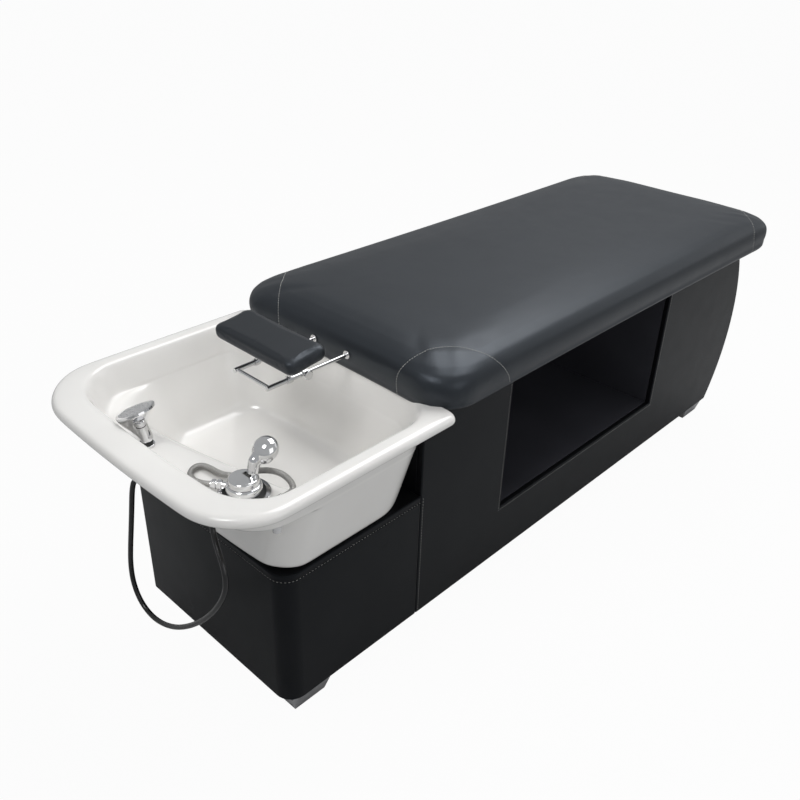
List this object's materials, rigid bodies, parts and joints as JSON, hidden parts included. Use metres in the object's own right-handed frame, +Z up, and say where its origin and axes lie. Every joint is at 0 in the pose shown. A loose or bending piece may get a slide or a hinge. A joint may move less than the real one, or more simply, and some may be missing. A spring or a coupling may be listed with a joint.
{
  "type": "hair washing bed",
  "caption": "Upholstered salon bed with a white hair washing basin at one end, sliding neck rest, mixer tap, handset on a hanging hose and a storage niche.",
  "frame": {"origin": "on the floor, under the middle of the whole bed's length and width", "axes": "+X towards the foot end, +Y towards the side without the storage niche, +Z up"},
  "size_m": [2, 0.656, 0.7276],
  "materials": {
    "leatherette_black": "black leatherette over board, fine grain, low sheen",
    "niche_lining": "black laminate board",
    "bulkhead_laminate": "black laminate board",
    "plywood": "birch plywood",
    "timber": "sawn softwood",
    "foot_metal": "satin aluminium",
    "black_rubber": "black rubber",
    "zinc_steel": "zinc plated steel",
    "mattress_leatherette": "dark grey leatherette, soft sheen, white thread seams",
    "pad_leatherette": "black leatherette",
    "polished_steel": "polished steel",
    "plate_steel": "black painted steel",
    "white_ceramic": "white glazed ceramic",
    "chrome": "polished chrome on brass",
    "cartridge_plastic": "pale plastic with ceramic discs",
    "brass": "plain brass",
    "waste_plastic": "white plastic",
    "spray_face": "grey plastic with soft nozzles",
    "braided_hose": "stainless braid",
    "black_hose": "black rubber hose"
  },
  "bodies": {
    "bed": {"near_side_panel": "leatherette_black", "far_side_panel": "leatherette_black", "foot_panel": "leatherette_black", "head_shell": "leatherette_black", "head_shelf": "leatherette_black", "niche_floor": "niche_lining", "niche_back": "niche_lining", "niche_ceiling": "niche_lining", "niche_head_partition": "niche_lining", "niche_foot_partition": "niche_lining", "bulkhead_panel": "bulkhead_laminate", "base_floor": "plywood", "mattress_board": "plywood", "anchor_block": "plywood", "top_rails": "timber", "cross_rails": "timber", "near_head_foot": "foot_metal", "far_head_foot": "foot_metal", "near_end_foot": "foot_metal", "far_end_foot": "foot_metal", "foot_pads": "black_rubber", "basin_seat": "black_rubber", "drain_gasket": "black_rubber", "mixer_gasket": "black_rubber", "foot_bolts": "zinc_steel", "mattress": "mattress_leatherette", "headrest_rods": "polished_steel", "rod_flanges": "polished_steel", "basin": "white_ceramic", "drain_flange": "chrome", "escutcheon": "chrome", "mixer_body": "chrome", "outlet_elbow": "chrome", "supply_ferrule": "chrome", "supply_hose_nuts": "chrome", "handset_holder": "chrome", "mixer_cartridge": "cartridge_plastic", "deck_backnuts": "brass", "drain_nut": "waste_plastic", "tailpiece": "waste_plastic", "trap_body": "waste_plastic", "trap_cup": "waste_plastic", "waste_pipe": "waste_plastic", "supply_hose": "braided_hose", "handset_hose": "black_hose"},
    "headrest": {"slide_frame": "polished_steel", "pad_posts": "polished_steel", "pad_plate": "plate_steel", "headrest_pad": "pad_leatherette"},
    "near_knob": {"near_knob": "polished_steel"},
    "far_knob": {"far_knob": "polished_steel"},
    "lever_hub": {"lever_hub": "chrome"},
    "lever": {"lever": "chrome"},
    "handset": {"handset_body": "chrome", "handset_collar": "chrome", "handset_rings": "black_rubber", "spray_face": "spray_face", "handset_hose_nut": "chrome"},
    "strainer": {"strainer": "chrome"}
  },
  "joints": [
    {"name": "headrest_slide", "type": "slide", "parent": "bed", "child": "headrest", "axis": [1, 0, 0], "range_m": [-0.018, 0.05]},
    {"name": "near_knob_turn", "type": "hinge", "parent": "headrest", "child": "near_knob", "pos_m": [-0.605, -0.05, 0.644], "axis": [0, -1, 0], "range_deg": [0, 180]},
    {"name": "far_knob_turn", "type": "hinge", "parent": "headrest", "child": "far_knob", "pos_m": [-0.605, 0.05, 0.644], "axis": [0, 1, 0], "range_deg": [0, 180]},
    {"name": "lever_turn", "type": "hinge", "parent": "bed", "child": "lever_hub", "pos_m": [-0.856, -0.182, 0.578], "axis": [0, 0, 1], "range_deg": [-45, 45]},
    {"name": "lever_lift", "type": "hinge", "parent": "lever_hub", "child": "lever", "pos_m": [-0.838, -0.182, 0.5869], "axis": [0, -1, 0], "range_deg": [0, 25]},
    {"name": "handset_lift", "type": "slide", "parent": "bed", "child": "handset", "axis": [0, 0, 1], "range_m": [0, 0.08]},
    {"name": "strainer_lift", "type": "slide", "parent": "bed", "child": "strainer", "axis": [0, 0, 1], "range_m": [0, 0.04]}
  ]
}
